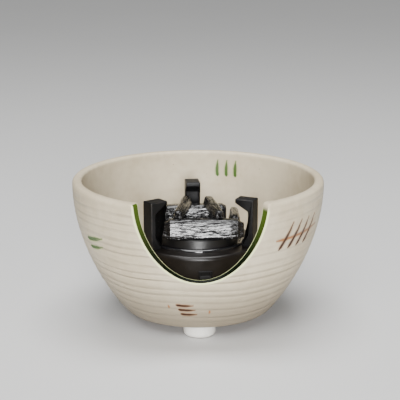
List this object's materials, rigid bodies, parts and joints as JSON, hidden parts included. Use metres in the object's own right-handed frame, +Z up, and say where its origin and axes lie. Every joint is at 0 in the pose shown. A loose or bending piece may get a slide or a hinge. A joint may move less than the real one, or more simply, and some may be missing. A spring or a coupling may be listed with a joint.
{
  "type": "furo brazier",
  "caption": "Open stoneware tea brazier on round feet, with a U-shaped fire window and a lift-out electric charcoal heater with iron kettle claws.",
  "frame": {"origin": "on the bowl's axis, in the plane that its feet stand on", "axes": "+Z up along the bowl's axis, -Y out through the fire window, +X to the right of someone facing the window"},
  "size_m": [0.271, 0.2548, 0.1572],
  "materials": {
    "bowl_glaze": "glossy cream glaze over thrown stoneware, iron brushwork and green drips",
    "foot_glaze": "glossy white glaze",
    "drum_paint": "satin heat-resistant paint, brownish black",
    "plated_steel": "zinc-plated sheet steel",
    "foot_rubber": "moulded rubber",
    "mineral_board": "matt mineral fibre board",
    "dish_enamel": "glossy black enamel",
    "bed_clay": "fired clay with a thin black glaze",
    "element_sheath": "heat-darkened steel sheath",
    "porcelain": "unglazed white porcelain",
    "lead_sleeve": "woven glass sleeve over wire",
    "claw_iron": "black cast iron with a soft sheen",
    "charcoal_glaze": "wet-looking black glaze over moulded bark",
    "switch_plastic": "fine matt moulding",
    "rocker_plastic": "glossy moulding"
  },
  "bodies": {
    "bowl": {"fire_bowl": "bowl_glaze", "foot_front": "foot_glaze", "foot_left": "foot_glaze", "foot_right": "foot_glaze"},
    "heater": {"heater_drum": "drum_paint", "base_plate": "plated_steel", "base_feet": "foot_rubber", "base_screws": "plated_steel", "deck_pillars": "plated_steel", "deck_plate": "plated_steel", "insulation_disc": "mineral_board", "heat_dish": "dish_enamel", "charcoal_bed": "bed_clay", "heating_element": "element_sheath", "terminal_block": "porcelain", "thermal_cutout": "porcelain", "lead_wires": "lead_sleeve", "trivet_left": "claw_iron", "trivet_right": "claw_iron", "trivet_back": "claw_iron", "trivet_screws": "plated_steel", "charcoal_front": "charcoal_glaze", "charcoal_back": "charcoal_glaze", "charcoal_left": "charcoal_glaze", "charcoal_right": "charcoal_glaze", "charcoal_top_left": "charcoal_glaze", "charcoal_top_right": "charcoal_glaze", "switch_bezel": "switch_plastic", "switch_body": "switch_plastic", "cord_inlet": "foot_rubber"},
    "rocker": {"switch_rocker": "rocker_plastic"}
  },
  "joints": [
    {"name": "heater_lift", "type": "slide", "parent": "bowl", "child": "heater", "axis": [0, 0, 1], "range_m": [0, 0.14]},
    {"name": "rocker_tilt", "type": "hinge", "parent": "heater", "child": "rocker", "pos_m": [0.00604, -0.06634, 0.06612], "axis": [0.9959, 0.0906, 0], "range_deg": [0, 22]}
  ]
}
